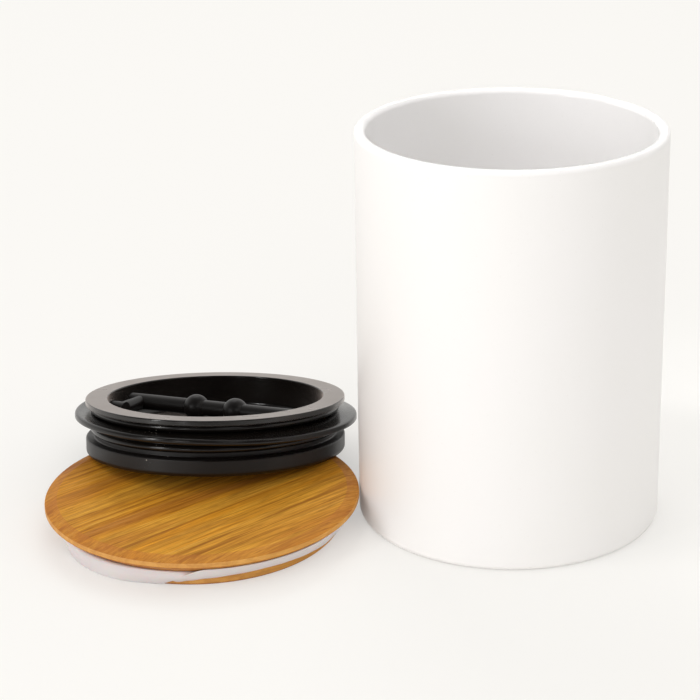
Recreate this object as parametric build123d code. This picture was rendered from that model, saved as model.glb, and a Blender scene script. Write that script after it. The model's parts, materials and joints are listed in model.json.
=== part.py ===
"""Food canister with a wooden lid and an inner press-down lid with an air valve.

The canister stands open. Its wooden lid lies beside it on its plug, and the inner lid
leans over the back edge of the wooden lid, with its handle folded down.
Millimetres, +Z up. The origin is the middle of the canister's flat base.
"""
import os
from math import asin, cos, degrees, radians, sin, sqrt, tan

from build123d import *

os.makedirs("parts", exist_ok=True)

# Ceramic canister
canister_diameter = 128.0
canister_height = 168.3
canister_wall = 4.65
canister_floor = 6.5
canister_foot_rounding = 2.5
canister_lip_rounding = 2.1
canister_corner_rounding = 9.0

# Wooden lid
lid_overhang = 2.2
lid_bevel_width = 5.2
lid_height = 15.0
lid_disc_thickness = 7.9
lid_edge_drop = 1.4
lid_side_height = 2.0
lid_under_width = 6.6
lid_edge_rounding = 0.6
plug_clearance = 1.1
plug_chamfer = 0.8
groove_height = 1.9
groove_depth = 2.6

# Silicone ring in the wooden lid's groove
gasket_back_clearance = 0.1
gasket_fin_interference = 1.9
gasket_fin_thickness = 1.0
gasket_fin_droop = 0.7
gasket_root_width = 0.9

# Inner lid, tray
rim_clearance = 2.15
rim_width = 9.6
rim_thickness = 2.4
rim_rounding = 0.5
dish_depth = 15.0
dish_wall = 2.4
dish_floor = 1.8
dish_draft = 1.2
dish_corner_rounding = 3.0
spigot_step = 0.8

# Inner lid, lower ring
ring_height = 7.5
ring_wall = 2.2
ring_web = 1.8
ring_foot_rounding = 2.0
ring_top_rounding = 0.7
neck_height = 2.1
neck_step = 3.8
spigot_clearance = 0.1

# Inner lid, silicone wiper sleeve
sleeve_clearance = 0.1
sleeve_height = 12.2
sleeve_wall = 2.3
bead_projection = 2.7
bead_height = 3.4
wiper_interference = 2.5
wiper_root_thickness = 1.6
wiper_tip_thickness = 0.9
wiper_bead_gap = 0.4
wiper_fall = 0.9

# Folding handle
bar_diameter = 7.0
bar_end_clearance = 2.6
bar_end_rounding = 0.8
arm_diameter = 6.0
bail_reach = 18.0
bail_turn = -25.5
bail_ball_diameter = 11.4
bail_ball_spacing = 20.3
pivot_drop = 0.6
knuckle_diameter = 7.4
knuckle_width = 6.4
trunnion_diameter = 3.4
trunnion_clearance = 0.08
socket_boss_diameter = 8.0
socket_boss_height = 1.5
socket_boss_gap = 0.35
socket_skin = 0.9

# Air valve
bar_clearance = 0.1
button_diameter = 8.4
button_top_thickness = 1.2
button_wall = 0.9
button_edge_rounding = 0.5
flange_diameter = 18.4
flange_thickness = 1.1
flange_ball_clearance = 0.3
seal_thickness = 1.0
seal_inset = 0.2
seal_clearance = 0.1
seat_height = 0.6
seat_width = 0.8
seat_inset = 1.2
stem_diameter = 3.2
stem_clearance = 0.08
hub_diameter = 8.2
hub_drop = 0.3
valve_travel = 1.6
vent_count = 6
vent_diameter = 1.9
clip_diameter = 6.2
clip_thickness = 0.6
clip_groove_depth = 0.45
clip_clearance = 0.05
stem_tail = 0.3
spring_wire = 0.5
spring_turns = 3.5
spring_clearance = 0.15

# How the pieces stand
lid_gap = 0.6
lid_bearing = 186.6
lean_bearing = 87.9
lean_angle = 11.8
lean_gap = 0.1
cut_overrun = 1.0
hair = 0.001

# Sizes that follow
canister_radius = canister_diameter / 2
bore_radius = canister_radius - canister_wall
lid_radius = canister_radius + lid_overhang
lid_top_radius = lid_radius - lid_bevel_width
lid_under_radius = lid_radius - lid_under_width
plug_radius = bore_radius - plug_clearance
groove_radius = plug_radius - groove_depth
side_top = lid_height - lid_edge_drop
side_bottom = side_top - lid_side_height
under_height = lid_height - lid_disc_thickness
groove_floor = under_height - groove_height

ring_underside = ring_height - ring_web
neck_top = ring_height + neck_height
rim_underside = neck_top + sleeve_height
inner_height = rim_underside + rim_thickness
rim_radius = bore_radius - rim_clearance
dish_radius = rim_radius - rim_width
tray_radius = dish_radius + dish_wall
dish_floor_height = inner_height - dish_depth
dish_floor_radius = dish_radius - dish_depth * tan(radians(dish_draft))
underside_height = dish_floor_height - dish_floor
spigot_radius = tray_radius - spigot_step
neck_radius = rim_radius - neck_step

seat_top = dish_floor_height + seat_height
seal_top = seat_top + seal_thickness
flange_top = seal_top + flange_thickness
bar_height = flange_top + flange_ball_clearance + bail_ball_diameter / 2
button_top = bar_height - bar_diameter / 2 - bar_clearance
pivot_height = bar_height - pivot_drop
bar_half = dish_radius - bar_end_clearance
stem_radius = stem_diameter / 2
hub_radius = hub_diameter / 2
seat_radius = flange_diameter / 2 - seat_inset
vent_circle_radius = (hub_radius + seat_radius - seat_width / 2) / 2
button_radius = button_diameter / 2
cavity_radius = button_radius - button_wall
cavity_top = button_top - button_top_thickness
hub_bottom = underside_height - hub_drop
clip_top = hub_bottom - valve_travel - clip_clearance
clip_bottom = clip_top - clip_thickness
stem_bottom = clip_bottom - clip_clearance - stem_tail


def turned(*corners):
    """Solid of revolution about Z. Each corner is (radius, height, rounding)."""
    starts, middles, ends = [], [], []
    for index, (radius, height, rounding) in enumerate(corners):
        here = Vector(radius, 0, height)
        before = Vector(corners[index - 1][0], 0, corners[index - 1][1])
        after_corner = corners[(index + 1) % len(corners)]
        after = Vector(after_corner[0], 0, after_corner[1])
        if rounding == 0:
            starts.append(here)
            middles.append(None)
            ends.append(here)
            continue
        back = (before - here).normalized()
        on = (after - here).normalized()
        half = radians(back.get_angle(on)) / 2
        inward = (back + on).normalized()
        starts.append(here + back * (rounding / tan(half)))
        ends.append(here + on * (rounding / tan(half)))
        middles.append(here + inward * (rounding / sin(half) - rounding))
    edges = []
    for index in range(len(corners)):
        if (starts[index] - ends[index - 1]).length > hair:
            edges.append(Line(ends[index - 1], starts[index]))
        if middles[index] is not None:
            edges.append(ThreePointArc(starts[index], middles[index], ends[index]))
    return revolve(make_face(Wire(edges)), Axis.Z)


def pipe(outer, inner, low, high):
    """Straight tube about Z between two heights."""
    tube = Cylinder(outer, high - low) - Cylinder(inner, high - low)
    return Pos(0, 0, (low + high) / 2) * tube


def rod(radius, low, high):
    """Straight bar about Z between two heights."""
    return Pos(0, 0, (low + high) / 2) * Cylinder(radius, high - low)


def save(shape, name):
    """Writes one piece as parts/NAME.step."""
    solid = shape.solid() if hasattr(shape, "solid") else shape
    solid.label = name
    export_step(solid, "parts/" + name + ".step")


def make_canister():
    """Straight pot with a rolled lip and a coved floor."""
    return turned(
        (0, 0, 0),
        (canister_radius, 0, canister_foot_rounding),
        (canister_radius, canister_height, canister_lip_rounding),
        (bore_radius, canister_height, canister_lip_rounding),
        (bore_radius, canister_floor, canister_corner_rounding),
        (0, canister_floor, 0),
    )


def make_wood_lid():
    """Bevelled disc, groove and plug turned from one board."""
    return turned(
        (0, 0, 0),
        (plug_radius - plug_chamfer, 0, 0),
        (plug_radius, plug_chamfer, 0),
        (plug_radius, groove_floor, 0),
        (groove_radius, groove_floor, 0),
        (groove_radius, under_height, 0),
        (lid_under_radius, under_height, lid_edge_rounding / 2),
        (lid_radius, side_bottom, lid_edge_rounding),
        (lid_radius, side_top, lid_edge_rounding),
        (lid_top_radius, lid_height, lid_edge_rounding),
        (0, lid_height, 0),
    )


def make_wood_lid_gasket():
    """Ring that fills the groove, with a fin that reaches past the bore."""
    back = groove_radius + gasket_back_clearance
    tip = bore_radius + gasket_fin_interference
    root = plug_radius + gasket_root_width
    fin_low = groove_floor - gasket_fin_droop / 2
    return turned(
        (back, groove_floor, 0),
        (plug_radius, groove_floor, 0),
        (root, under_height - gasket_fin_thickness - gasket_fin_droop / 2, 0),
        (tip, fin_low, gasket_fin_thickness / 3),
        (tip, fin_low + gasket_fin_thickness, gasket_fin_thickness / 3),
        (root, under_height, gasket_fin_thickness / 3),
        (back, under_height, 0),
    )


def make_tray():
    """Rim, dish, valve seat, vents and handle sockets in one moulding."""
    tray = turned(
        (0, hub_bottom, 0),
        (hub_radius, hub_bottom, 0),
        (hub_radius, underside_height, 0),
        (spigot_radius - dish_wall, underside_height, 0),
        (spigot_radius - dish_wall, ring_underside, 0),
        (spigot_radius, ring_underside, 0),
        (spigot_radius, neck_top, 0),
        (tray_radius, neck_top, 0),
        (tray_radius, rim_underside, 0),
        (rim_radius, rim_underside, rim_rounding),
        (rim_radius, inner_height, rim_rounding),
        (dish_radius, inner_height, rim_rounding),
        (dish_floor_radius, dish_floor_height, dish_corner_rounding),
        (seat_radius + seat_width / 2, dish_floor_height, 0),
        (seat_radius + seat_width / 2, seat_top, 0),
        (seat_radius - seat_width / 2, seat_top, 0),
        (seat_radius - seat_width / 2, dish_floor_height, 0),
        (0, dish_floor_height, 0),
    )
    for boss in socket_bosses():
        tray += boss
    tray -= rod(stem_radius + stem_clearance, hub_bottom - cut_overrun, dish_floor_height + cut_overrun)
    vent = rod(vent_diameter / 2, underside_height - cut_overrun, dish_floor_height + cut_overrun)
    tray -= PolarLocations(vent_circle_radius, vent_count) * vent
    for socket in sockets():
        tray -= socket
    return tray


def across(radius, inner_end, outer_end, side):
    """Bar along X on one side, from one distance to another."""
    middle = side * (inner_end + outer_end) / 2
    return Pos(middle, 0, 0) * Rot(0, 90, 0) * Cylinder(radius, outer_end - inner_end)


hinge_place = Rot(0, 0, bail_turn) * Pos(0, -bail_reach, pivot_height)


boss_face = sqrt(dish_radius**2 - bail_reach**2) - socket_boss_height
arm_face = boss_face - socket_boss_gap
arm_middle = arm_face - knuckle_width / 2
socket_end = sqrt(tray_radius**2 - (bail_reach + trunnion_diameter) ** 2) - socket_skin


def socket_bosses():
    """Pads on the dish wall that give the handle's trunnions a flat bearing."""
    shell = pipe(dish_radius + dish_wall / 2, 0, dish_floor_height, rim_underside)
    pad = socket_boss_diameter / 2
    return [hinge_place * across(pad, boss_face, tray_radius, side) & shell for side in (-1, 1)]


def sockets():
    """Blind holes for the trunnions."""
    hole = trunnion_diameter / 2 + trunnion_clearance
    return [hinge_place * across(hole, arm_face - cut_overrun, socket_end, side) for side in (-1, 1)]


def make_ring():
    """Lower ring: neck, web and hanging wall, open below."""
    bore = spigot_radius + spigot_clearance
    return turned(
        (bore, ring_underside, 0),
        (rim_radius - ring_wall, ring_underside, ring_top_rounding),
        (rim_radius - ring_wall, 0, 0),
        (rim_radius, 0, ring_foot_rounding),
        (rim_radius, ring_height, ring_top_rounding),
        (neck_radius, ring_height, ring_top_rounding),
        (neck_radius, neck_top, 0),
        (bore, neck_top, 0),
    )


def make_wiper():
    """Sleeve between rim and ring, with a bead at each end and one wide fin."""
    inner = tray_radius + sleeve_clearance
    outer = inner + sleeve_wall
    bead = outer + bead_projection
    tip = bore_radius + wiper_interference
    top = rim_underside
    round_bead = bead_height / 2 - sleeve_clearance
    fin_root = top - bead_height - wiper_bead_gap
    fin_tip = fin_root - wiper_fall
    return turned(
        (inner, neck_top, 0),
        (bead, neck_top, round_bead),
        (bead, neck_top + bead_height, round_bead),
        (outer, neck_top + bead_height, 0),
        (outer, fin_root - wiper_root_thickness, 0),
        (tip, fin_tip - wiper_tip_thickness, wiper_tip_thickness / 3),
        (tip, fin_tip, wiper_tip_thickness / 3),
        (outer, fin_root, 0),
        (outer, top - bead_height, 0),
        (bead, top - bead_height, round_bead),
        (bead, top, round_bead),
        (inner, top, 0),
    )


def make_bail():
    """Crossbar with two balls, two arms back to the hinge line, and trunnions."""
    rise = bar_height - pivot_height
    reach = sqrt(bail_reach**2 + rise**2)
    bar = across(bar_diameter / 2, -bar_half, bar_half, 1)
    bar = fillet(bar.edges().filter_by(GeomType.CIRCLE), bar_end_rounding)
    bail = Pos(0, bail_reach, rise) * bar
    arm = Pos(0, 0, reach / 2) * Cylinder(arm_diameter / 2, reach)
    arm = Rot(-degrees(asin(bail_reach / reach)), 0, 0) * arm
    # A ball's poles lie on the bar's axis, where the bar covers them.
    ball = Rot(0, 90, 0) * Sphere(bail_ball_diameter / 2)
    for side in (-1, 1):
        bail += Pos(side * bail_ball_spacing / 2, bail_reach, rise) * ball
        bail += Pos(side * arm_middle, 0, 0) * arm
        bail += across(knuckle_diameter / 2, arm_face - knuckle_width, arm_face, side)
        bail += across(trunnion_diameter / 2, arm_face, socket_end - trunnion_clearance, side)
    return hinge_place * bail


def make_button():
    """Valve head: cap over the spring, sealing flange and stem."""
    neck_low = seal_top - seal_thickness + seal_inset
    groove = stem_radius - clip_groove_depth
    return turned(
        (0, stem_bottom, 0),
        (stem_radius, stem_bottom, 0),
        (stem_radius, clip_bottom - clip_clearance, 0),
        (groove, clip_bottom - clip_clearance, 0),
        (groove, clip_top + clip_clearance, 0),
        (stem_radius, clip_top + clip_clearance, 0),
        (stem_radius, cavity_top, 0),
        (cavity_radius, cavity_top, 0),
        (cavity_radius, neck_low, 0),
        (button_radius, neck_low, 0),
        (button_radius, seal_top, 0),
        (flange_diameter / 2, seal_top, 0),
        (flange_diameter / 2, flange_top, button_edge_rounding),
        (button_radius, flange_top, 0),
        (button_radius, button_top, button_edge_rounding),
        (0, button_top, 0),
    )


def make_seal():
    """Flat washer that closes on the seat."""
    return pipe(flange_diameter / 2 - seal_inset, button_radius + seal_clearance, seat_top, seal_top)


def make_clip():
    """Retaining ring in the stem's groove, open on one side."""
    bore = stem_radius - clip_groove_depth + clip_clearance
    clip = pipe(clip_diameter / 2, bore, clip_bottom, clip_top)
    slot = Box(clip_diameter, 2 * bore, clip_thickness + 2 * cut_overrun)
    return clip - Pos(clip_diameter / 2, 0, (clip_bottom + clip_top) / 2) * slot


def make_spring():
    """Open coil that stands on the hub inside the button."""
    coil_radius = cavity_radius - spring_clearance - spring_wire / 2
    low = dish_floor_height + spring_wire / 2
    rise = cavity_top - dish_floor_height - spring_wire
    path = Pos(0, 0, low) * Helix(rise / spring_turns, rise, coil_radius)
    section = Plane(origin=path @ 0, z_dir=path % 0) * Circle(spring_wire / 2)
    return sweep(section, path=path, is_frenet=True)


# The wooden lid lies on its plug, just clear of the canister.
lid_distance = canister_radius + lid_radius + lid_gap
lid_x = lid_distance * cos(radians(lid_bearing))
lid_y = lid_distance * sin(radians(lid_bearing))

# The inner lid's ring stands on the floor at the back and straddles the wooden lid's
# top edge at two places. Both decide how far back it lies.
lean = radians(lean_angle)
foot_radius = rim_radius - ring_foot_rounding
inner_z = foot_radius * sin(lean) + ring_foot_rounding * (1 - cos(lean))
cross_along = (inner_z - lid_height - lean_gap) / sin(lean)
cross_aside = sqrt(foot_radius**2 - cross_along**2)
lean_distance = sqrt(lid_top_radius**2 - cross_aside**2) - cross_along * cos(lean)
inner_x = lid_x + lean_distance * cos(radians(lean_bearing))
inner_y = lid_y + lean_distance * sin(radians(lean_bearing))

lid_place = Pos(lid_x, lid_y, 0)
inner_place = Pos(inner_x, inner_y, inner_z) * Rot(0, 0, lean_bearing - 90) * Rot(-lean_angle, 0, 0)

save(make_canister(), "canister_body")
save(lid_place * make_wood_lid(), "wood_lid")
save(lid_place * make_wood_lid_gasket(), "wood_lid_gasket")
save(inner_place * make_tray(), "inner_lid_tray")
save(inner_place * make_ring(), "inner_lid_ring")
save(inner_place * make_wiper(), "inner_lid_wiper")
save(inner_place * make_bail(), "inner_lid_bail")
save(inner_place * make_button(), "valve_button")
save(inner_place * make_seal(), "valve_seal")
save(inner_place * make_clip(), "valve_clip")
save(inner_place * make_spring(), "valve_spring")
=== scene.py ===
"""Looks of an open food canister with its wooden lid and its valved inner lid beside it."""

import json
from math import cos, degrees, hypot, pi, radians, sin

import bmesh
import bpy
from mathutils import Matrix, Vector


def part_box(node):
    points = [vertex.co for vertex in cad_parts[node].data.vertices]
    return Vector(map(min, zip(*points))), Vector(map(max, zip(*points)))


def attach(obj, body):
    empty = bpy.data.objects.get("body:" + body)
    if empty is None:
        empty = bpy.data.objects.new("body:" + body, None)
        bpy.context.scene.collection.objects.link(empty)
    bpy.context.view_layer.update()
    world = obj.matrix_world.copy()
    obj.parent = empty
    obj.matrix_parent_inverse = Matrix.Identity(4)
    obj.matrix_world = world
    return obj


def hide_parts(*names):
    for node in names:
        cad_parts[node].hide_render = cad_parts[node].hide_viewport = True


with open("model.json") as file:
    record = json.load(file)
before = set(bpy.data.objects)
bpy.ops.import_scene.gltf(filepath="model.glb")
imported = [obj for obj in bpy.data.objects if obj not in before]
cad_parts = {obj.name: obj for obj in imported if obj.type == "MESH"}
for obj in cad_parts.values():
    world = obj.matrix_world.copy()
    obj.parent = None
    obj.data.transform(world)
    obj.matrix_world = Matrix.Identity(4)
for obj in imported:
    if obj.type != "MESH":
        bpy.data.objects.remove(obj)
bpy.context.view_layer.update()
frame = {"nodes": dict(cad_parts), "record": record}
MM = 0.001

# Sizes from the frame, in millimetres
mount_sizes = {mount["name"]: mount["dims"] for mount in frame["record"]["mounts"]}
MOUTH_RADIUS = mount_sizes["canister_mouth"]["r_mm"]
low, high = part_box("canister_body")
CANISTER_RADIUS = (high.x - low.x) / 2 / MM
LIP_MIDDLE_RADIUS = (CANISTER_RADIUS + MOUTH_RADIUS) / 2

# Camera, a pinhole fitted to the photograph, with its angles in radians
PICTURE = 700
SENSOR_MM = 36
FOCAL_PX = 2146.5
CENTRE_PX = (400, 300)
PITCH, ROLL = 0.35246, -0.00871
CAMERA_AT = Vector((-45.805, -839.152, 402.458)) * MM

forward = Vector((0, cos(PITCH), -sin(PITCH)))
level_right = Vector((1, 0, 0))
level_up = level_right.cross(forward)
right = cos(ROLL) * level_right + sin(ROLL) * level_up
up = cos(ROLL) * level_up - sin(ROLL) * level_right

camera_data = bpy.data.cameras.new("camera")
camera_data.sensor_width = SENSOR_MM
camera_data.lens = FOCAL_PX * SENSOR_MM / PICTURE
camera_data.shift_x = (PICTURE / 2 - CENTRE_PX[0]) / PICTURE
camera_data.shift_y = (CENTRE_PX[1] - PICTURE / 2) / PICTURE
camera = bpy.data.objects.new("camera", camera_data)
camera.matrix_world = Matrix.Translation(CAMERA_AT) @ Matrix((right, up, -forward)).transposed().to_4x4()
bpy.context.scene.collection.objects.link(camera)
bpy.context.scene.camera = camera
bpy.context.scene.view_settings.view_transform = "Standard"


# Node helpers
class Nodes:
    """Small helper that adds and links the nodes of one tree."""

    def __init__(self, tree):
        self.tree = tree
        tree.nodes.clear()

    def add(self, kind, **settings):
        node = self.tree.nodes.new(kind)
        for key, value in settings.items():
            setattr(node, key, value)
        return node

    def join(self, source, target):
        self.tree.links.new(source, target)

    def feed(self, socket, value):
        if isinstance(value, bpy.types.NodeSocket):
            self.join(value, socket)
        else:
            socket.default_value = value

    def math(self, operation, a, b=None, clamp=False):
        node = self.add("ShaderNodeMath", operation=operation, use_clamp=clamp)
        self.feed(node.inputs[0], a)
        if b is not None:
            self.feed(node.inputs[1], b)
        return node.outputs[0]

    def mix(self, factor, a, b):
        """Mix of two colours. Sockets 6 and 7 are the node's colours A and B."""
        node = self.add("ShaderNodeMix", data_type="RGBA")
        self.feed(node.inputs[0], factor)
        self.feed(node.inputs[6], a)
        self.feed(node.inputs[7], b)
        return node.outputs[2]

    def dot(self, vector, direction):
        node = self.add("ShaderNodeVectorMath", operation="DOT_PRODUCT")
        self.join(vector, node.inputs[0])
        node.inputs[1].default_value = direction
        return node.outputs["Value"]

    def coords(self, turn=0.0, stretch=(1, 1, 1)):
        """Object coordinates, turned about Z and then stretched."""
        where = self.add("ShaderNodeTexCoord").outputs["Object"]
        spin = self.add("ShaderNodeMapping")
        spin.inputs["Rotation"].default_value = (0, 0, -turn)
        self.join(where, spin.inputs["Vector"])
        scale = self.add("ShaderNodeMapping")
        scale.inputs["Scale"].default_value = stretch
        self.join(spin.outputs[0], scale.inputs["Vector"])
        return scale.outputs[0]

    def noise(self, where, scale, detail, rough, distortion=0.0):
        node = self.add("ShaderNodeTexNoise")
        self.join(where, node.inputs["Vector"])
        node.inputs["Scale"].default_value = scale
        node.inputs["Detail"].default_value = detail
        node.inputs["Roughness"].default_value = rough
        node.inputs["Distortion"].default_value = distortion
        return node.outputs["Fac"]

    def spots(self, where, scale):
        """Distance from the nearest of many scattered points."""
        node = self.add("ShaderNodeTexVoronoi")
        self.join(where, node.inputs["Vector"])
        node.inputs["Scale"].default_value = scale
        return node.outputs["Distance"]

    def remap(self, value, low, high, to_low=0.0, to_high=1.0, smooth=False):
        node = self.add("ShaderNodeMapRange")
        node.interpolation_type = "SMOOTHSTEP" if smooth else "LINEAR"
        node.inputs["From Min"].default_value = low
        node.inputs["From Max"].default_value = high
        node.inputs["To Min"].default_value = to_low
        node.inputs["To Max"].default_value = to_high
        self.join(value, node.inputs["Value"])
        return node.outputs["Result"]

    def ramp(self, value, *stops):
        node = self.add("ShaderNodeValToRGB")
        node.color_ramp.interpolation = "EASE"
        band = node.color_ramp.elements
        while len(band) < len(stops):
            band.new(0.5)
        for element, (place, colour) in zip(band, stops):
            element.position = place
            element.color = colour
        self.join(value, node.inputs[0])
        return node.outputs[0]

    def bump(self, height, distance, strength):
        node = self.add("ShaderNodeBump")
        node.inputs["Distance"].default_value = distance
        node.inputs["Strength"].default_value = strength
        self.join(height, node.inputs["Height"])
        return node.outputs[0]

    def output(self, kind, factor, first, second):
        """Output node fed by a mix of two shaders."""
        blend = self.add("ShaderNodeMixShader")
        self.join(factor, blend.inputs[0])
        self.join(first.outputs[0], blend.inputs[1])
        self.join(second.outputs[0], blend.inputs[2])
        target = self.add(kind)
        self.join(blend.outputs[0], target.inputs["Surface"])


def srgb(red, green, blue):
    """Colour from 0-255 values as they look on screen."""
    def linear(value):
        value /= 255
        return value / 12.92 if value <= 0.04045 else ((value + 0.055) / 1.055) ** 2.4
    return (linear(red), linear(green), linear(blue), 1.0)


def material(name, build, **sockets):
    """Principled material. build(nodes) gives its varying colour, roughness and normal."""
    made = bpy.data.materials.new(name)
    made.use_nodes = True
    nodes = Nodes(made.node_tree)
    shader = nodes.add("ShaderNodeBsdfPrincipled")
    output = nodes.add("ShaderNodeOutputMaterial")
    nodes.join(shader.outputs[0], output.inputs["Surface"])
    colour, rough, normal = build(nodes)
    nodes.join(colour, shader.inputs["Base Color"])
    nodes.join(rough, shader.inputs["Roughness"])
    nodes.join(normal, shader.inputs["Normal"])
    for key, value in sockets.items():
        shader.inputs[key.replace("_", " ")].default_value = value
    return made


# Place of the leaning inner lid, whose own axis is +Z
LEAN, LEAN_BEARING = radians(11.8), radians(87.9)
SEAL_HEIGHT, RIM_HEIGHT = 10.3, 20
low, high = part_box("valve_seal")
inner_place = (
    Matrix.Translation((low + high) / 2)
    @ Matrix.Rotation(LEAN_BEARING - pi / 2, 4, "Z")
    @ Matrix.Rotation(-LEAN, 4, "X")
    @ Matrix.Translation((0, 0, -SEAL_HEIGHT * MM))
)
inner_up = inner_place.to_3x3() @ Vector((0, 0, 1))
RIM_LEVEL = (inner_place @ Vector((0, 0, RIM_HEIGHT * MM))).dot(inner_up)


# Wood
GRAIN_TURN = radians(43)
GRAIN_DIRECTION = (cos(GRAIN_TURN), sin(GRAIN_TURN), 0)
# Layers of the grain: stretch along and across it, detail, roughness, distortion
GRAIN_LAYERS = {
    "broad": (4, 42, 3, 0.55, 0.5),
    "streaks": (11, 330, 4, 0.62, 0.15),
    "fibres": (46, 900, 3, 0.7, 0.0),
    "hairs": (75, 1900, 2, 0.6, 0.0),
    "pores": (110, 1300, 1, 0.5, 0.0),
}
WOOD_TONES = (
    (0.32, srgb(188, 118, 42)),
    (0.46, srgb(222, 152, 40)),
    (0.56, srgb(228, 166, 56)),
    (0.70, srgb(206, 138, 48)),
)
# Marks laid over the tone: layer, value where they start, value where they are full,
# strength, whether they fade smoothly, colour
WOOD_MARKS = (
    ("streaks", 0.51, 0.67, 0.72, True, srgb(142, 82, 26)),
    ("streaks", 0.48, 0.30, 0.35, True, srgb(228, 174, 86)),
    ("fibres", 0.40, 0.62, 0.46, False, srgb(128, 76, 22)),
    ("hairs", 0.36, 0.64, 0.34, False, srgb(140, 86, 30)),
    ("pores", 0.62, 0.74, 0.3, True, srgb(98, 56, 18)),
)
# The bevel's tone is painted shade, darker where the lid's edge turns a little away from straight up; the
# end grain's tone is the wood's own
END_GRAIN, BEVEL_PAINTED_SHADE, SIDE_PAINTED_HIGHLIGHT = srgb(160, 96, 54), srgb(176, 108, 54), srgb(238, 184, 106)
# The side's tone is a painted highlight, lighter on the lid's upright edge below the bevel
END_GRAIN_SHARE, BEVEL_SHADE_SHARE, SIDE_HIGHLIGHT_SHARE = 0.62, 0.4, 0.6
# How far the surface faces along the grain, or upward, where each of these starts and is full
END_ON, BEVEL_SLOPE, SIDE_SLOPE, UNDER_SLOPE = (0.12, 0.7), (0.995, 0.97), (0.93, 0.6), (-0.35, -0.05)
WOOD_ROUGHNESS = (0.48, 0.62)
GRAIN_DEPTH = 0.00012


def wood_nodes(n):
    layers = {
        name: n.noise(n.coords(GRAIN_TURN, (along, across, across)), 1.0, detail, rough, distortion)
        for name, (along, across, detail, rough, distortion) in GRAIN_LAYERS.items()
    }
    tone = n.ramp(layers["broad"], *WOOD_TONES)
    for layer, start, full, strength, smooth, colour in WOOD_MARKS:
        mark = n.remap(layers[layer], start, full, 0.0, strength, smooth)
        tone = n.mix(mark, tone, colour)

    normal = n.add("ShaderNodeTexCoord").outputs["Normal"]
    along_grain = n.math("ABSOLUTE", n.dot(normal, GRAIN_DIRECTION))
    end_grain = n.remap(along_grain, *END_ON, 0.0, END_GRAIN_SHARE, True)
    tone = n.mix(end_grain, tone, END_GRAIN)

    upward = n.dot(normal, (0, 0, 1))
    # Painted shade: the bevel, facing a little away from straight up, is darkened
    bevel_shade = n.remap(upward, *BEVEL_SLOPE, 0.0, BEVEL_SHADE_SHARE, True)
    tone = n.mix(bevel_shade, tone, BEVEL_PAINTED_SHADE)

    # Painted highlight: the side below the bevel and above the underside is lightened, less on the dark
    # streaks
    below_bevel = n.remap(upward, *SIDE_SLOPE, 0.0, 1.0, True)
    above_underside = n.remap(upward, *UNDER_SLOPE, 0.0, SIDE_HIGHLIGHT_SHARE, True)
    between_streaks = n.remap(layers["streaks"], 0.35, 0.62, 1.0, 0.65, True)
    side_highlight = n.math("MULTIPLY", n.math("MULTIPLY", below_bevel, above_underside), between_streaks)
    tone = n.mix(side_highlight, tone, SIDE_PAINTED_HIGHLIGHT)

    rough = n.remap(layers["fibres"], 0.3, 0.7, *WOOD_ROUGHNESS)
    raised = n.math("MULTIPLY", layers["fibres"], 0.6)
    sunk = n.math("MULTIPLY", layers["pores"], -0.8)
    return tone, rough, n.bump(n.math("ADD", raised, sunk), GRAIN_DEPTH, 0.6)


# Glaze, satin outside and glossy inside from the middle of the lip on
GLAZE, GLAZE_CLOUD, GLAZE_SPECK = srgb(247, 245, 246), srgb(244, 243, 241), srgb(200, 192, 180)
GLAZE_CLOUD_SCALE, RIPPLE_SCALE, SPECK_SCALE = 14, 95, 300
SATIN_ROUGHNESS = (0.36, 0.44)
GLOSS_EDGE, GLOSS_INSIDE = 0.6, 0.2
RIPPLE_DEPTH = 0.00025


def glaze_nodes(n):
    cloud = n.noise(n.coords(), GLAZE_CLOUD_SCALE, 3, 0.5)
    ripple = n.noise(n.coords(), RIPPLE_SCALE, 2, 0.5)
    specks = n.remap(n.spots(n.coords(), SPECK_SCALE), 0.10, 0.04, 0.0, 0.12, True)
    tone = n.mix(specks, n.mix(cloud, GLAZE, GLAZE_CLOUD), GLAZE_SPECK)
    level = n.add("ShaderNodeVectorMath", operation="MULTIPLY")
    n.join(n.coords(), level.inputs[0])
    level.inputs[1].default_value = (1, 1, 0)
    radius = n.add("ShaderNodeVectorMath", operation="LENGTH")
    n.join(level.outputs[0], radius.inputs[0])
    outer, inner = (LIP_MIDDLE_RADIUS + GLOSS_EDGE) * MM, LIP_MIDDLE_RADIUS * MM
    inside = n.remap(radius.outputs["Value"], outer, inner, 0.0, GLOSS_INSIDE, True)
    rough = n.math("SUBTRACT", n.remap(cloud, 0.3, 0.7, *SATIN_ROUGHNESS), inside)
    return tone, rough, n.bump(ripple, RIPPLE_DEPTH, 0.25)


# Blacks
DUST = srgb(190, 184, 176)
BLACK_CLOUD_SCALE, DUST_PATCH_SCALE, DUST_SCALE = 45, 38, 420
CLOUD_LIFT = 8
# How far a surface faces along the inner lid's axis where the painted reflection on the rim's top starts
# and is full
TOP_SLOPE = (0.93, 0.985)


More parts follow.
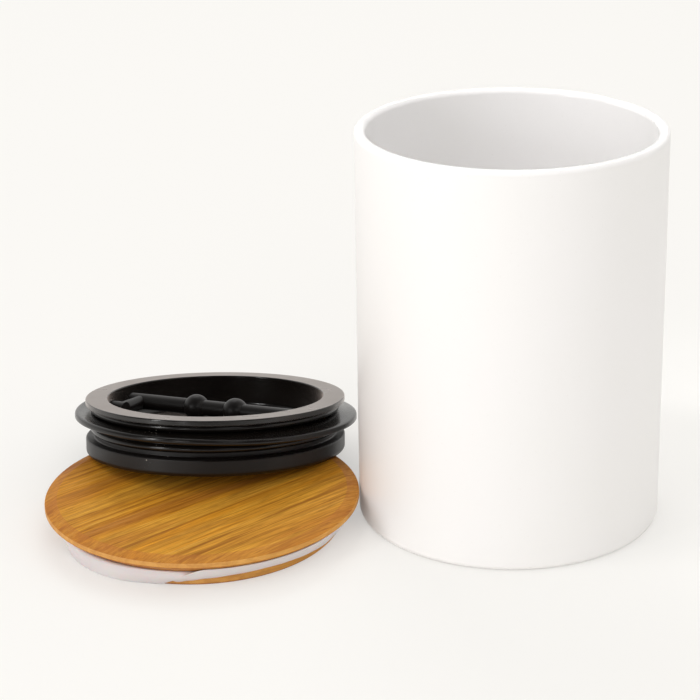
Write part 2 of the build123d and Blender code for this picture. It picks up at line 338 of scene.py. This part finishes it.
def black_nodes(low, high, grain, depth, shade, dust=0.0, face=None):
    """Roughness goes from low to high, and the fine grain has a scale and a depth. shade is the
    darkest tone as 0-255 values and dust is its share. The last argument is the painted reflection
    on the top of the inner lid's rim: a lighter colour painted there, and the roughness added there."""
    def build(n):
        where = n.coords()
        fine = n.noise(where, grain, 2, 0.6)
        cloud = n.noise(where, BLACK_CLOUD_SCALE, 3, 0.55)
        tone = n.mix(cloud, srgb(*shade), srgb(*[value + CLOUD_LIFT for value in shade]))
        rough = n.remap(cloud, 0.3, 0.7, low, high)
        if dust:
            patches = n.remap(n.noise(where, DUST_PATCH_SCALE, 1, 0.5), 0.62, 0.72, 0.0, dust, True)
            motes = n.remap(n.spots(where, DUST_SCALE), 0.16, 0.08, 0.0, 1.0, True)
            tone = n.mix(n.math("MULTIPLY", motes, patches), tone, DUST)
        # Painted reflection: a lighter colour on the rim's top, where the surface faces along the inner
        # lid's axis above the rim's level
        if face:
            painted_reflection_colour, face_roughness = face
            normal = n.add("ShaderNodeTexCoord").outputs["Normal"]
            facing = n.remap(n.dot(normal, inner_up), *TOP_SLOPE, 0.0, 1.0, True)
            at_rim = n.math("GREATER_THAN", n.dot(where, inner_up), RIM_LEVEL)
            top = n.math("MULTIPLY", facing, at_rim)
            tone = n.mix(top, tone, srgb(*painted_reflection_colour))
            rough = n.math("ADD", rough, n.math("MULTIPLY", top, face_roughness))
        return tone, rough, n.bump(fine, depth, 0.5)
    return build


# White silicone and steel
SILICONE, SILICONE_CLOUD = srgb(220, 213, 215), srgb(226, 221, 221)
SILICONE_ROUGHNESS, SILICONE_DEPTH = (0.42, 0.55), 0.0002
STEEL, STEEL_LINE = srgb(168, 168, 166), srgb(196, 196, 194)
STEEL_ROUGHNESS, STEEL_DEPTH = (0.2, 0.34), 0.00003
STEEL_STRETCH = (900, 900, 90)


def silicone_nodes(n):
    cloud = n.noise(n.coords(), 60, 3, 0.5)
    tone = n.mix(cloud, SILICONE, SILICONE_CLOUD)
    rough = n.remap(cloud, 0.3, 0.7, *SILICONE_ROUGHNESS)
    return tone, rough, n.bump(cloud, SILICONE_DEPTH, 0.3)


def steel_nodes(n):
    lines = n.noise(n.coords(0, STEEL_STRETCH), 1.0, 2, 0.5)
    tone = n.mix(lines, STEEL, STEEL_LINE)
    rough = n.remap(lines, 0.3, 0.7, *STEEL_ROUGHNESS)
    return tone, rough, n.bump(lines, STEEL_DEPTH, 0.4)


# Materials by the record's slots
# Painted reflection on the inner lid's rim top: a lighter warm colour, and the roughness added there
RIM_TOP_PAINTED_REFLECTION = ((48, 39, 33), 0.12)
LOOKS = {
    "canister_glaze": material(
        "satin_white_glaze", glaze_nodes,
        Coat_Weight=0.12, Coat_Roughness=0.2,
    ),
    "lid_wood": material(
        "oiled_acacia", wood_nodes,
        Specular_IOR_Level=0.1,
    ),
    "white_silicone": material(
        "white_silicone", silicone_nodes,
        Subsurface_Weight=0.2, Subsurface_Scale=0.002,
    ),
    "black_gloss": material(
        "black_gloss_moulding", black_nodes(0.14, 0.2, 900, 0.00002, (10, 7, 5), face=RIM_TOP_PAINTED_REFLECTION),
        Specular_IOR_Level=0.6, Sheen_Weight=0.65, Sheen_Roughness=0.3, Sheen_Tint=(1.0, 0.86, 0.78, 1.0),
    ),
    "black_satin": material(
        "black_satin_moulding", black_nodes(0.34, 0.44, 1300, 0.00005, (13, 9, 7), dust=0.7),
        Specular_IOR_Level=0.33,
    ),
    "black_silicone": material(
        "black_silicone", black_nodes(0.18, 0.26, 700, 0.00003, (12, 9, 7), dust=0.5),
        Specular_IOR_Level=0.35,
    ),
    "steel": material(
        "stainless_steel", steel_nodes,
        Metallic=1.0,
    ),
}

for part in frame["record"]["subparts"]:
    node = frame["nodes"][part["node"]]
    node.data.materials.clear()
    node.data.materials.append(LOOKS[part["material_slot"]])


# Soft rings
SHARP_ANGLE = radians(50)
CURVE_STEPS = 4


def lofted(name, section, count, place, slot, body, replaced):
    """Closed ring whose section, a loop of (radius, height) in mm, may change with the angle."""
    mesh = bpy.data.meshes.new(name)
    build = bmesh.new()
    rows = []
    for step in range(count):
        angle = 2 * pi * step / count
        points = [
            Vector((radius * cos(angle) * MM, radius * sin(angle) * MM, height * MM))
            for radius, height in section(angle)
        ]
        rows.append([build.verts.new(place @ point) for point in points])
    for step in range(count):
        here, there = rows[step], rows[(step + 1) % count]
        for index in range(len(here)):
            after = (index + 1) % len(here)
            build.faces.new((here[index], there[index], there[after], here[after]))
    bmesh.ops.recalc_face_normals(build, faces=build.faces)
    build.to_mesh(mesh)
    build.free()
    mesh.polygons.foreach_set("use_smooth", [True] * len(mesh.polygons))
    mesh.set_sharp_from_angle(angle=SHARP_ANGLE)
    mesh.materials.append(LOOKS[slot])
    made = bpy.data.objects.new(name, mesh)
    bpy.context.scene.collection.objects.link(made)
    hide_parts(replaced)
    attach(made, body)


def arc(centre, radius, start, end, steps):
    """Points on an arc, angles in degrees."""
    turns = [radians(start + (end - start) * step / steps) for step in range(steps + 1)]
    return [(centre[0] + radius * cos(turn), centre[1] + radius * sin(turn)) for turn in turns]


def spline(a, b, c, d, t):
    """Value at share t of the way from b to c, on a smooth line through all four."""
    linear, square, cube = c - a, 2 * a - 5 * b + 4 * c - d, 3 * b - a - 3 * c + d
    return 0.5 * (2 * b + linear * t + square * t * t + cube * t ** 3)


def curve(points):
    """Points on a smooth line through the given ones."""
    padded = [points[0], *points, points[-1]]
    line = []
    for four in zip(padded, padded[1:], padded[2:], padded[3:]):
        for step in range(CURVE_STEPS):
            line.append(tuple(spline(*values, step / CURVE_STEPS) for values in zip(*four)))
    line.append(tuple(points[-1]))
    return line


def smoothstep(low, high, value):
    share = min(1.0, max(0.0, (value - low) / (high - low)))
    return share * share * (3 - 2 * share)


def plateau(start, full, falling, end, value):
    """Rises from 0 at start to 1 at full, and falls from 1 at falling to 0 at end."""
    return smoothstep(start, full, value) * smoothstep(end, falling, value)


def offset(line, distance):
    """The line moved sideways, to its right."""
    moved = []
    for index, (x, y) in enumerate(line):
        before, after = line[max(index - 1, 0)], line[min(index + 1, len(line) - 1)]
        dx, dy = after[0] - before[0], after[1] - before[1]
        length = hypot(dx, dy)
        moved.append((x + dy / length * distance, y - dx / length * distance))
    return moved


# Wooden lid's ring, with radii from the mouth's and heights above the floor
low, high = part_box("wood_lid")
lid_place = Matrix.Translation(((low.x + high.x) / 2, (low.y + high.y) / 2, 0))
PLUG_CLEARANCE, GROOVE_DEPTH, BACK_CLEARANCE, ROOT_GAP = 1.1, 2.6, 0.1, 0.15
PLUG_RADIUS = MOUTH_RADIUS - PLUG_CLEARANCE
BACK_RADIUS = PLUG_RADIUS - GROOVE_DEPTH + BACK_CLEARANCE
ROOT_RADIUS = PLUG_RADIUS + ROOT_GAP
BACK_BOTTOM, BACK_TOP = 5.2, 7.0
ROOT_BOTTOM, ROOT_TOP = 5.6, 6.95


def from_root(*lines):
    return [[(ROOT_RADIUS + out, height) for out, height in line] for line in lines]


# The fin's upper and lower line in three states, from root to tip, as (outward, height)
NEUTRAL = from_root(
    [(0.0, ROOT_TOP), (1.0, 6.8), (1.9, 6.5), (2.5, 6.1), (2.9, 5.7)],
    [(0.0, ROOT_BOTTOM), (0.8, 5.5), (1.6, 5.3), (2.2, 5.0), (2.6, 4.8)],
)
FOLDED_UP = from_root(
    [(0.0, ROOT_TOP), (1.2, 6.7), (2.6, 7.15), (3.8, 8.3), (5.1, 9.6)],
    [(0.0, ROOT_BOTTOM), (1.7, 5.3), (3.2, 6.3), (4.4, 7.7), (5.5, 9.3)],
)
TIP_BOTTOM = 0.3
PULLED_DOWN = from_root(
    [(0.0, ROOT_TOP), (2.8, 7.2), (3.1, 4.6), (2.6, 2.2), (1.9, TIP_BOTTOM)],
    [(0.0, 5.7), (1.8, 5.6), (2.1, 4.1), (1.6, 2.2), (1.0, TIP_BOTTOM)],
)
ALONG_FIN = (0.0, 0.25, 0.5, 0.75, 1.0)
# Least gap to the plug of the fin's upper and lower line
PLUG_GAPS = (0.6, 0.1)
# Degrees round the lid, with 0 at the right and 270 in front, where the ring is pulled down,
# folded up and flared: where each starts, is full, begins to end and ends
PULLED = (180, 206, 256, 276)
FOLDED = (256, 276, 348, 362)
FLARED = (204, 224, 232, 252)
# Degrees where the ring starts to be tucked in, or its root to sink, and where that is full
TUCKED_IN, SUNK = (242, 258), (252, 266)
FLARE, TUCK, TIP_BULGE = 1.3, 1.5, 0.1
# Height of the ring's lower edge on the plug, by degrees round the lid
EDGE_HEIGHTS = (
    (196, 5.0), (204, 2.6), (213, TIP_BOTTOM), (257, TIP_BOTTOM), (263, 1.2), (269, 2.2), (277, 3.15),
    (288, 4.0), (299, 4.3), (310, 3.8), (320, 3.0), (331, 2.3), (343, 3.6), (356, 5.6),
)


def blend_lines(first, second, share):
    return [
        [tuple(a + (b - a) * share for a, b in zip(p, q)) for p, q in zip(one, other)]
        for one, other in zip(first, second)
    ]


def edge_height(turn):
    """The ring's lower edge at this angle, eased between the chosen heights."""
    for (start, here), (end, there) in zip(EDGE_HEIGHTS, EDGE_HEIGHTS[1:]):
        if start <= turn <= end:
            return here + (there - here) * smoothstep(start, end, turn)
    return EDGE_HEIGHTS[-1][1]


def gasket_section(angle):
    turn = degrees(angle)
    edge = edge_height(turn)
    down, upward = plateau(*PULLED, turn), plateau(*FOLDED, turn)
    flare = FLARE * plateau(*FLARED, turn) - TUCK * smoothstep(*TUCKED_IN, turn)
    lift = edge - TIP_BOTTOM
    pulled = [
        [
            (max(radius + flare * share, PLUG_RADIUS + gap), height + lift * share ** 2)
            for share, (radius, height) in zip(ALONG_FIN, line)
        ]
        for gap, line in zip(PLUG_GAPS, PULLED_DOWN)
    ]
    top_line, low_line = blend_lines(blend_lines(NEUTRAL, FOLDED_UP, upward), pulled, down)
    sunk = max(0.0, ROOT_BOTTOM - edge) * smoothstep(*SUNK, turn)
    low_line = [
        (radius, height - sunk * (1 - share) ** 2)
        for share, (radius, height) in zip(ALONG_FIN, low_line)
    ]
    upper, lower = curve(top_line), curve(low_line)
    tip_radius, tip_height = [(a + b) / 2 for a, b in zip(upper[-1], lower[-1])]
    tip = [(tip_radius + TIP_BULGE * upward, tip_height + TIP_BULGE * (upward - down))]
    back = [(BACK_RADIUS, BACK_BOTTOM), (BACK_RADIUS, BACK_TOP)]
    return back + upper + tip + lower[::-1]


lofted(
    "wood_lid_ring_skirt", gasket_section, count=360, place=lid_place,
    slot="white_silicone", body="wooden_lid", replaced="wood_lid_gasket",
)

# Inner lid's wiper, two beads and a fin that waves a little
SLEEVE_IN, SLEEVE_WALL = 50.1, 2.3
BEAD_PROJECTION, BEAD_ROUND, BEAD_STEPS = 2.7, 1.65, 10
FIN_INTERFERENCE, FIN_THICKNESS = 2.5, 0.9
SLEEVE_OUT = SLEEVE_IN + SLEEVE_WALL
BEAD_CENTRE = SLEEVE_OUT + BEAD_PROJECTION - BEAD_ROUND
FIN_OUT = MOUTH_RADIUS + FIN_INTERFERENCE
SLEEVE_LOW, SLEEVE_HIGH = 9.62, 21.78
FIN_ROOT_LOW, FIN_ROOT_HIGH = 16.5, 18.1
# The fin's rolled lip: middle height, half its height, width and corner
ROLL_MIDDLE, ROLL_HALF, ROLL_WIDTH, ROLL_CORNER = 16.45, 1.3, 0.75, 0.3
# The lip is higher on the left, lower in front and behind, and reaches further on the right
FIN_TILT, FIN_SAG, FIN_SPREAD = 1.45, 0.45, 0.35
# Waves of the lip: how many round the ring, phase and height
FIN_WAVES = ((3, 0.7, 0.12), (7, 0.0, 0.06))


def wiper_section(angle):
    tilt = FIN_TILT * cos(angle - pi) - FIN_SAG * sin(angle) ** 2
    for count, phase, height in FIN_WAVES:
        tilt += height * sin(count * angle + phase)
    lip = ROLL_MIDDLE + tilt
    reach = FIN_OUT + FIN_SPREAD * (1 + cos(angle))
    upper = curve([
        (SLEEVE_OUT, FIN_ROOT_HIGH),
        (SLEEVE_OUT + 2.6, FIN_ROOT_HIGH + 0.3 * tilt),
        (SLEEVE_OUT + 5.8, FIN_ROOT_HIGH - 0.3 + 0.7 * tilt),
        (reach - 1.25, lip + 1.2),
        (reach - 0.25, lip + 0.8),
        (reach, lip),
    ])
    lower = offset(upper, FIN_THICKNESS)
    lower[0] = (SLEEVE_OUT, FIN_ROOT_LOW)
    roll = [
        (reach, lip - ROLL_HALF + ROLL_CORNER),
        (reach - ROLL_CORNER, lip - ROLL_HALF),
        (reach - ROLL_WIDTH, lip - ROLL_HALF + ROLL_CORNER),
    ]
    top_bead = arc((BEAD_CENTRE, SLEEVE_HIGH - BEAD_ROUND), BEAD_ROUND, 90, -90, BEAD_STEPS)
    low_bead = arc((BEAD_CENTRE, SLEEVE_LOW + BEAD_ROUND), BEAD_ROUND, 90, -90, BEAD_STEPS)
    top_back, low_back = [(SLEEVE_IN, SLEEVE_HIGH)], [(SLEEVE_IN, SLEEVE_LOW)]
    return top_back + top_bead + upper + roll + lower[::-1] + low_bead + low_back


lofted(
    "inner_lid_wiper_soft", wiper_section, count=288, place=inner_place,
    slot="black_silicone", body="inner_lid", replaced="inner_lid_wiper",
)

# Floor
PALE, MATT_FLOOR = srgb(251, 250, 248), srgb(245, 243, 239)
# Share of the plain pale colour in the floor that the camera and reflections see
FLOOR_SHARE = 0.45
FLOOR_HALF = 6.0


def seen_directly(nodes):
    """1 for camera, glossy and transmission rays, else 0."""
    path = nodes.add("ShaderNodeLightPath")
    seen = nodes.math("ADD", path.outputs["Is Camera Ray"], path.outputs["Is Glossy Ray"])
    return nodes.math("ADD", seen, path.outputs["Is Transmission Ray"], clamp=True)


floor_material = bpy.data.materials.new("pale_floor")
floor_material.use_nodes = True
nodes = Nodes(floor_material.node_tree)
matt = nodes.add("ShaderNodeBsdfDiffuse")
matt.inputs["Color"].default_value = MATT_FLOOR
glow = nodes.add("ShaderNodeEmission")
glow.inputs["Color"].default_value = PALE
share = nodes.math("MULTIPLY", seen_directly(nodes), FLOOR_SHARE)
nodes.output("ShaderNodeOutputMaterial", share, matt, glow)

corners = [(x * FLOOR_HALF, y * FLOOR_HALF, 0) for x, y in ((-1, -1), (1, -1), (1, 1), (-1, 1))]
floor_mesh = bpy.data.meshes.new("floor")
floor_mesh.from_pydata(corners, [], [(0, 1, 2, 3)])
floor_mesh.materials.append(floor_material)
floor = bpy.data.objects.new("floor", floor_mesh)
bpy.context.scene.collection.objects.link(floor)

# World, whose reflections show the pale backdrop behind the object and a darker room in front
ROOM_LEVEL, OVERHEAD_LEVEL = 0.10, 0.35
HORIZON_LEVEL, ZENITH_LEVEL = 0.46, 1.18
SKY = srgb(250, 249, 247)

world = bpy.data.worlds.new("studio")
world.use_nodes = True
bpy.context.scene.world = world
nodes = Nodes(world.node_tree)
aim = nodes.add("ShaderNodeSeparateXYZ")
nodes.join(nodes.add("ShaderNodeTexCoord").outputs["Generated"], aim.inputs[0])
behind = nodes.remap(aim.outputs["Y"], -0.35, 0.5, ROOM_LEVEL, 1.0, True)
overhead = nodes.remap(aim.outputs["Z"], 0.45, 0.9, 1.0, OVERHEAD_LEVEL, True)
reflected = nodes.math("MULTIPLY", behind, overhead)
from_camera = nodes.add("ShaderNodeLightPath").outputs["Is Camera Ray"]
shown = nodes.add("ShaderNodeBackground")
shown.inputs["Color"].default_value = PALE
nodes.join(nodes.math("MAXIMUM", reflected, from_camera), shown.inputs["Strength"])
lit = nodes.add("ShaderNodeBackground")
lit.inputs["Color"].default_value = SKY
nodes.join(nodes.remap(aim.outputs["Z"], 0.0, 1.0, HORIZON_LEVEL, ZENITH_LEVEL), lit.inputs["Strength"])
nodes.output("ShaderNodeOutputWorld", seen_directly(nodes), lit, shown)

# Lamps: name, place, what it points at, width and height, watts, spread in degrees
LAMP_COLOUR = (1.0, 0.995, 0.99)
LIDS = (-0.13, 0.04, 0.04)
LAMPS = (
    ("key_front", (0.45, -1.6, 1.1), (0.0, 0.0, 0.06), (0.6, 0.6), 2.3, 180),
    ("back_top", (-0.2, 1.2, 1.4), (-0.05, 0.0, 0.08), (0.8, 0.4), 3, 180),
    ("window", (-1.25, -0.95, 0.42), LIDS, (0.14, 0.8), 5, 180),
    ("window_far", (-0.75, -1.4, 0.4), LIDS, (0.06, 0.6), 1.2, 180),
    ("mouth", (-0.2, -0.08, 0.66), (0.04, 0.02, 0.13), (0.12, 0.12), 0.03, 25),
)

for name, place, target, size, watts, spread in LAMPS:
    lamp = bpy.data.lights.new(name, "AREA")
    lamp.shape = "RECTANGLE"
    lamp.size, lamp.size_y = size
    lamp.energy = watts
    lamp.color = LAMP_COLOUR
    lamp.spread = radians(spread)
    holder = bpy.data.objects.new(name, lamp)
    holder.location = place
    holder.rotation_euler = (Vector(target) - Vector(place)).to_track_quat("-Z", "Y").to_euler()
    bpy.context.scene.collection.objects.link(holder)
